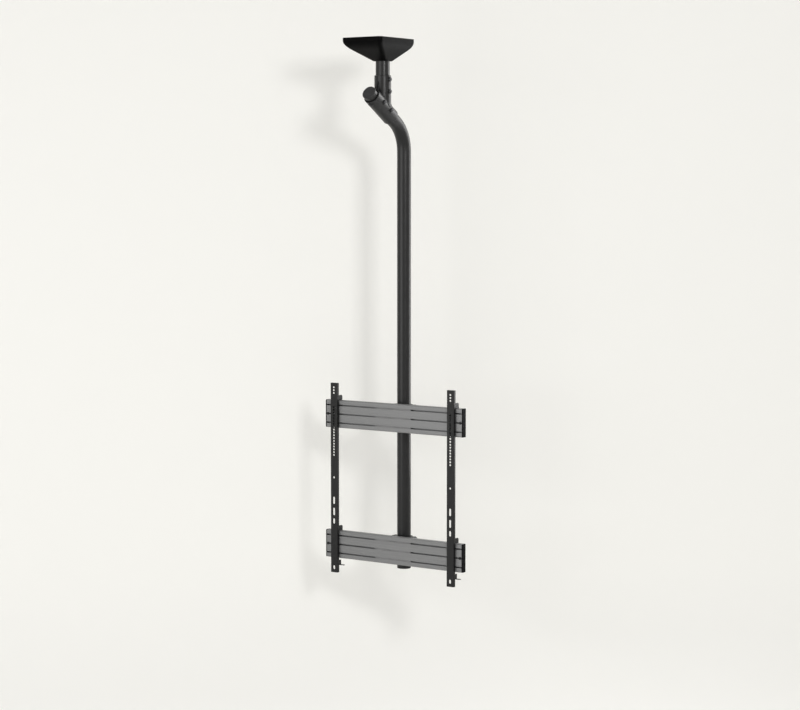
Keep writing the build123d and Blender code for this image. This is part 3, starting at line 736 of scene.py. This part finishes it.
class MOUNT_OT_coupling_screws(bpy.types.Operator):
    """Turns the coupling's button-head clamp screws and the lock screw under the inclined sleeve"""

    bl_idname = "ceiling_mount.coupling_screws"
    bl_label = "Coupling screws"

    def execute(self, context):
        sizes = settings().sizes
        lean = sizes.crank_angle
        upright_x = sizes.upright_r + sizes.boss_h
        incline_x = sizes.incline_r + sizes.boss_h
        seats = [(upright_x, 0, -drop) for drop in (sizes.first_drop, sizes.second_drop)]
        for place in (sizes.upper_place, sizes.lower_place):
            seats.append((incline_x, -place * sin(lean), -sizes.cross_drop + place * cos(lean)))
        shell = button_screw(
            sizes.clamp_screw_d,
            sizes.clamp_screw_l,
            sizes.clamp_head_d,
            sizes.clamp_head_h,
            sizes.clamp_key,
            M8_PITCH,
        )
        shells = [set_at(shell, seat, (0, 1, 0), (1, 0, 0)) for seat in seats]
        oxide = settings().finishes.oxide
        material = fastener_steel("coupling_screw_steel", oxide, ROUGHNESS["screw"], METAL["screw"])
        make_piece("domed_coupling_screws", shells, material, "crank", ("coupling_screws",))

        seat = (
            0.0,
            -sizes.lock_place * sin(lean) - incline_x * cos(lean),
            -sizes.cross_drop + sizes.lock_place * cos(lean) - incline_x * sin(lean),
        )
        shell = button_screw(
            sizes.lock_d, sizes.clamp_screw_l, sizes.lock_head_d, sizes.lock_head_h, sizes.lock_key, M6_PITCH
        )
        shells = [set_at(shell, seat, (1, 0, 0), (0, -cos(lean), -sin(lean)))]
        make_piece("domed_lock_screw", shells, material, "crank", ("lock_screw",))
        return {"FINISHED"}


class MOUNT_OT_rails(bpy.types.Operator):
    """Finishes the rails, slot covers, clamps and small hardware"""

    bl_idname = "ceiling_mount.rails"
    bl_label = "Rails and clamps"

    def execute(self, context):
        finishes = settings().finishes
        rail = anodised_bar("rail_anodised", finishes.rail, ROUGHNESS["rail"], ALONG_X, METAL["rail"])
        coat(nodes_in("rail_aluminium"), rail)
        filler = moulded_plastic("filler_strip", finishes.filler, ROUGHNESS["filler"], SHEEN["filler"])
        coat(nodes_in("filler_plastic"), filler)
        clamp = anodised_bar("clamp_anodised", finishes.clamp, ROUGHNESS["clamp"], ALONG_Z, METAL["clamp"])
        coat(nodes_in("clamp_aluminium"), clamp)
        oxide = fastener_steel("black_oxide", finishes.oxide, ROUGHNESS["bolt"], METAL["bolt"])
        coat(nodes_in("dark_steel"), oxide)
        zinc = fastener_steel("zinc_plate", finishes.zinc, ROUGHNESS["zinc"], METAL["zinc"])
        coat(nodes_in("zinc_steel"), zinc)
        return {"FINISHED"}


class MOUNT_OT_bolts(bpy.types.Operator):
    """Turns the knurled bolts and chamfered nuts of clamps and rails, and the rails' end stops"""

    bl_idname = "ceiling_mount.bolts"
    bl_label = "Bolts, nuts and end stops"

    def execute(self, context):
        sizes, finishes = settings().sizes, settings().finishes
        oxide = fastener_steel("bolt_steel", finishes.oxide, ROUGHNESS["bolt"], METAL["bolt"])
        zinc = fastener_steel("nut_zinc", finishes.zinc, ROUGHNESS["zinc"], METAL["zinc"])
        black = fastener_steel("stop_steel", finishes.stop, ROUGHNESS["stop"], METAL["stop"])
        for level in LEVELS:
            for kind, way in (("clamp", 1.0), ("rail", -1.0)):
                self.bolts(f"{level}_{kind}", way, sizes, oxide)
                self.nuts(f"{level}_{kind}", -way, sizes, zinc)
            self.stops(level, sizes, black)
        return {"FINISHED"}

    def bolts(self, group, way, sizes, material):
        """Four cap screws, their heads towards +Y (way 1) or -Y (way -1)."""
        low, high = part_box(f"{group}_bolts")
        shank = high[1] - low[1] - sizes.bolt_head_h
        seat_y = high[1] - sizes.bolt_head_h if way > 0 else low[1] + sizes.bolt_head_h
        shell = cap_screw(
            sizes.bolt_d,
            shank,
            sizes.bolt_thread,
            sizes.bolt_head_d,
            sizes.bolt_head_h,
            sizes.bolt_key,
            M8_PITCH,
        )
        seats = corner_seats(f"{group}_bolts", sizes.bolt_head_d, seat_y)
        shells = [set_at(shell, seat, (1, 0, 0), (0, way, 0)) for seat in seats]
        replaced = (f"{group}_bolts",)
        make_piece(f"{group}_cap_screws", shells, material, "carriage", replaced)

    def nuts(self, group, way, sizes, material):
        """Four nuts, their outer faces towards +Y (way 1) or -Y (way -1)."""
        low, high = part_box(f"{group}_nuts")
        shell = chamfered_nut(sizes.nut_flats, sizes.bolt_d / 2, high[1] - low[1])
        seat_y = low[1] if way > 0 else high[1]
        corner_w = 2 * hexagon(pi / 6, sizes.nut_flats)
        low_x, high_x = low[0] + corner_w / 2, high[0] - corner_w / 2
        low_z, high_z = low[2] + sizes.nut_flats / 2, high[2] - sizes.nut_flats / 2
        seats = [(x, seat_y, z) for x in (low_x, high_x) for z in (low_z, high_z)]
        shells = [set_at(shell, seat, (0, 0, 1), (0, way, 0)) for seat in seats]
        replaced = (f"{group}_nuts",)
        make_piece(f"{group}_hexagon_nuts", shells, material, "carriage", replaced)

    def stops(self, level, sizes, material):
        """Two button screws in the ends of a rail's middle slot."""
        low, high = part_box(f"{level}_stop_screws")
        shank = high[1] - low[1] - sizes.stop_head_h
        shell = button_screw(
            sizes.stop_d, shank, sizes.stop_head_d, sizes.stop_head_h, sizes.stop_key, M4_PITCH
        )
        seats = end_seats(f"{level}_stop_screws", sizes.stop_head_d, low[1] + sizes.stop_head_h)
        shells = [set_at(shell, seat, (1, 0, 0), (0, -1, 0)) for seat in seats]
        replaced = (f"{level}_stop_screws",)
        make_piece(f"{level}_domed_stops", shells, material, "carriage", replaced)


class MOUNT_OT_arms(bpy.types.Operator):
    """Finishes the arms, hooks and latches"""

    bl_idname = "ceiling_mount.arms"
    bl_label = "Arms and latches"

    def execute(self, context):
        finishes = settings().finishes
        coat(nodes_in("arm_paint"), powder_coat("arm_coat", finishes.arm, ROUGHNESS["arm"]))
        coat(nodes_in("latch_paint"), powder_coat("latch_coat", finishes.arm, ROUGHNESS["arm"]))
        return {"FINISHED"}


class MOUNT_OT_latch_springs(bpy.types.Operator):
    """Folds the latch springs"""

    bl_idname = "ceiling_mount.latch_springs"
    bl_label = "Latch springs"

    def execute(self, context):
        sizes = settings().sizes
        zinc = settings().finishes.zinc
        material = fastener_steel("spring_zinc", zinc, ROUGHNESS["zinc"], METAL["zinc"])
        for side in SIDES:
            node = f"{side}_latch_spring"
            low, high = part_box(node)
            back, front = high[1], high[1] - sizes.spring_fold
            foot, top = low[2] + sizes.spring_t / 2, high[2] - sizes.spring_t / 2
            middle = (foot + top) / 2
            corners = np.array(((back, foot), (front, foot), (back, middle), (front, top), (back, top)))
            shell = folded_strip(bent_path(corners, sizes.spring_bend), low[0], high[0], sizes.spring_t)
            name, body = f"{side}_zigzag_spring", f"{side}_arm"
            piece = make_piece(name, [shell], material, body, (node,))
            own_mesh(piece)
        return {"FINISHED"}


def from_camera(stage, right, ahead, up):
    """A point given as seen from the camera: to the right of the stub, ahead of it and up."""
    turn = stage.azimuth
    return np.array((right * cos(turn) + ahead * sin(turn), right * sin(turn) - ahead * cos(turn), up))


def stage_lamp(name, place, aim, box):
    """A soft box at place that faces aim, not seen itself."""
    width, tall, power = box
    lamp = bpy.data.lights.new(name, "AREA")
    lamp.shape = "RECTANGLE"
    lamp.size = width
    lamp.size_y = tall
    lamp.energy = power
    holder = bpy.data.objects.new(name, lamp)
    bpy.context.scene.collection.objects.link(holder)
    way = aim - place
    holder.location = place
    holder.rotation_euler = (atan2(np.hypot(way[0], way[1]), -way[2]), 0.0, atan2(-way[0], way[1]))
    holder.visible_camera = False


class MOUNT_OT_stage(bpy.types.Operator):
    """Sets the camera, the pale backdrop and floor, and the soft light"""

    bl_idname = "ceiling_mount.stage"
    bl_label = "Stage"

    def execute(self, context):
        stage = settings().stage
        scene = context.scene
        scene.view_settings.view_transform = "Standard"
        lens = bpy.data.cameras.new("photo_camera")
        lens.lens = stage.lens
        lens.sensor_width = stage.sensor
        camera = bpy.data.objects.new("photo_camera", lens)
        scene.collection.objects.link(camera)
        camera.location = stage.camera
        camera.rotation_euler = (pi / 2 - stage.pitch, 0.0, stage.azimuth)
        scene.camera = camera

        self.backdrop(stage)
        self.room(stage)
        middle = from_camera(stage, *OBJECT_MIDDLE)
        stage_lamp("key_box", from_camera(stage, *KEY_BOX[:3]), middle, KEY_BOX[3:])
        stage_lamp("strip_box", from_camera(stage, *STRIP_BOX[:3]), middle, STRIP_BOX[3:])
        edge = from_camera(stage, *EDGE_PANEL[:3])
        stage_lamp("edge_panel", edge, edge + from_camera(stage, 0.0, 1.0, 0.0), EDGE_PANEL[3:])
        return {"FINISHED"}

    def room(self, stage):
        """A pale room to the eye and in reflections that gives the object a low, even light."""
        world = bpy.data.worlds.new("pale_room")
        g = Graph(world)
        dim = g.node("ShaderNodeBackground", None, {"Color": rgba(stage.pale), "Strength": ROOM_LIGHT})
        pale = g.node("ShaderNodeBackground", None, {"Color": rgba(stage.pale), "Strength": 1.0})
        seen = g.node("ShaderNodeMixShader", None, {0: g.looked_at(), 1: dim, 2: pale})
        g.node("ShaderNodeOutputWorld", None, {"Surface": seen})
        bpy.context.scene.world = world

    def backdrop(self, stage):
        """A wall that faces the camera, a quarter-round cove and a floor: (u, v) runs across and down it."""
        floor = -stage.floor_drop
        bend = np.linspace(0, pi / 2, COVE_STEPS)
        back = np.concatenate(([0.0], -COVE * (1 - np.cos(bend)), [-FLOOR_REACH]))
        height = np.concatenate(([WALL_TOP], floor + COVE * (1 - np.sin(bend)), [floor]))
        across = np.linspace(-HALF_WIDTH, HALF_WIDTH, 2)
        depth = stage.backdrop + back[:, None] + 0 * across
        side = across + 0 * back[:, None]
        x = -sin(stage.azimuth) * depth + cos(stage.azimuth) * side
        y = cos(stage.azimuth) * depth + sin(stage.azimuth) * side
        points = np.stack((x, y, height[:, None] + 0 * across), -1)
        rows = len(back)
        faces = [(2 * r, 2 * r + 2, 2 * r + 3, 2 * r + 1) for r in range(rows - 1)]
        mesh = bpy.data.meshes.new("backdrop")
        mesh.from_pydata(points.reshape(-1, 3).tolist(), [], faces)
        mesh.shade_smooth()
        mesh.materials.append(self.paper(stage))
        sheet = bpy.data.objects.new("backdrop", mesh)
        bpy.context.scene.collection.objects.link(sheet)

    def paper(self, stage):
        """Pale paper, clear from behind: it glows to the eye, more on the floor, and keeps its shadows."""
        g = Graph(bpy.data.materials.new("backdrop_paper"))
        behind = g.node("ShaderNodeNewGeometry", output="Backfacing")
        paper = g.node("ShaderNodeBsdfDiffuse", None, {"Color": rgba(stage.pale)})
        glow = g.node("ShaderNodeEmission", None, {"Color": rgba(stage.pale), "Strength": 1.0})
        clear = g.node("ShaderNodeBsdfTransparent")
        share = g.looked_at() * (WALL_GLOW + g.lying() * FLOOR_GLOW)
        seen = g.node("ShaderNodeMixShader", None, {0: share, 1: paper, 2: glow})
        sheet = g.node("ShaderNodeMixShader", None, {0: behind, 1: seen, 2: clear})
        g.node("ShaderNodeOutputMaterial", None, {"Surface": sheet})
        return g.owner


OPERATORS = (
    MOUNT_OT_ceiling_end,
    MOUNT_OT_crank,
    MOUNT_OT_rails,
    MOUNT_OT_arms,
    MOUNT_OT_welds,
    MOUNT_OT_coupling_screws,
    MOUNT_OT_bolts,
    MOUNT_OT_latch_springs,
    MOUNT_OT_stage,
)


class MOUNT_PT_sidebar(bpy.types.Panel):
    """Lists the mount's pieces and settings"""

    bl_idname = "MOUNT_PT_sidebar"
    bl_label = "Ceiling mount"
    bl_space_type = "VIEW_3D"
    bl_region_type = "UI"
    bl_category = "Ceiling mount"

    def draw(self, context):
        for operator in OPERATORS:
            self.layout.operator(operator.bl_idname)
        for group in (settings().finishes, settings().sizes, settings().stage):
            box = self.layout.box()
            for name in group.__annotations__:
                box.prop(group, name)


CLASSES = (MountFinishes, MountSizes, MountStage, CeilingMount, *OPERATORS, MOUNT_PT_sidebar)


def register():
    for cls in CLASSES:
        bpy.utils.register_class(cls)
    bpy.types.Scene.ceiling_mount = PointerProperty(type=CeilingMount)


def unregister():
    del bpy.types.Scene.ceiling_mount
    for cls in reversed(CLASSES):
        bpy.utils.unregister_class(cls)


def main():
    register()
    bpy.ops.ceiling_mount.ceiling_end()
    bpy.ops.ceiling_mount.crank()
    bpy.ops.ceiling_mount.rails()
    bpy.ops.ceiling_mount.arms()
    bpy.ops.ceiling_mount.welds()
    bpy.ops.ceiling_mount.coupling_screws()
    bpy.ops.ceiling_mount.bolts()
    bpy.ops.ceiling_mount.latch_springs()
    bpy.ops.ceiling_mount.stage()


if __name__ == "__main__":
    main()
